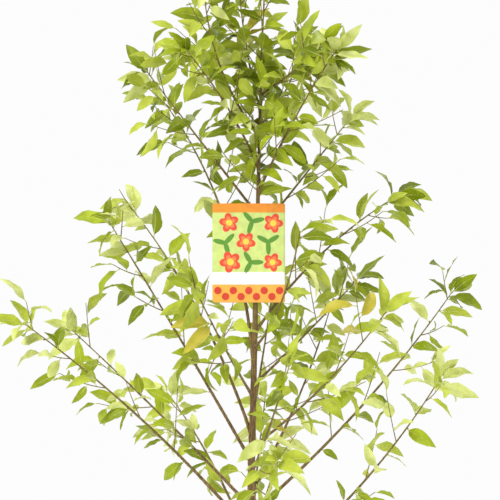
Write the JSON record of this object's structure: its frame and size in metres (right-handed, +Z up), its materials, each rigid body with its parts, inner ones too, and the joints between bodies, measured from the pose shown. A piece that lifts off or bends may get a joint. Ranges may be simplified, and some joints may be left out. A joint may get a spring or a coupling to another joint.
{
  "type": "potted nectarine tree",
  "caption": "Young nectarine tree in a plain nursery pot, with a trunk, boughs, masses of leaves and a picture card hung on the trunk.",
  "frame": {"origin": "centre of the pot's flat underside, on the ground", "axes": "+Z up the trunk, +X to the tree's right seen from the front, -Y towards the viewer of its front"},
  "size_m": [0.9917, 0.916, 1.7398],
  "materials": {
    "pot": "matte black moulded plastic, slightly scuffed",
    "compost": "dark brown moist peat and bark compost",
    "bark": "smooth grey-brown bark with pale pores, olive green on young wood",
    "leaves": "soft light green leaves with a low sheen",
    "card": "printed plastic card with a plain pattern"
  },
  "bodies": {
    "root": {"bough_back_left": "bark", "bough_back_low": "bark", "bough_front_low": "bark", "bough_left_front": "bark", "bough_left_high": "bark", "bough_left_long": "bark", "bough_left_low": "bark", "bough_left_low_inner": "bark", "bough_left_mid": "bark", "bough_left_mid_inner": "bark", "bough_left_top": "bark", "bough_right_back": "bark", "bough_right_front": "bark", "bough_right_high": "bark", "bough_right_high_outer": "bark", "bough_right_inner_back": "bark", "bough_right_low": "bark", "bough_right_low_back": "bark", "bough_right_low_front": "bark", "bough_right_lowest": "bark", "bough_right_mid": "bark", "bough_right_mid_low": "bark", "bough_right_top": "bark", "bough_right_top_back": "bark", "bough_top_left": "bark", "bough_top_mid": "bark", "compost": "compost", "leaves_back_left": "leaves", "leaves_back_low": "leaves", "leaves_front_low": "leaves", "leaves_leader": "leaves", "leaves_left_front": "leaves", "leaves_left_high": "leaves", "leaves_left_long": "leaves", "leaves_left_low": "leaves", "leaves_left_low_inner": "leaves", "leaves_left_mid": "leaves", "leaves_left_mid_inner": "leaves", "leaves_left_top": "leaves", "leaves_right_back": "leaves", "leaves_right_front": "leaves", "leaves_right_high": "leaves", "leaves_right_high_outer": "leaves", "leaves_right_inner_back": "leaves", "leaves_right_low": "leaves", "leaves_right_low_back": "leaves", "leaves_right_low_front": "leaves", "leaves_right_lowest": "leaves", "leaves_right_mid": "leaves", "leaves_right_mid_low": "leaves", "leaves_right_top": "leaves", "leaves_right_top_back": "leaves", "leaves_top_left": "leaves", "leaves_top_mid": "leaves", "picture_card": "card", "pot": "pot", "trunk": "bark"}
  },
  "joints": []
}
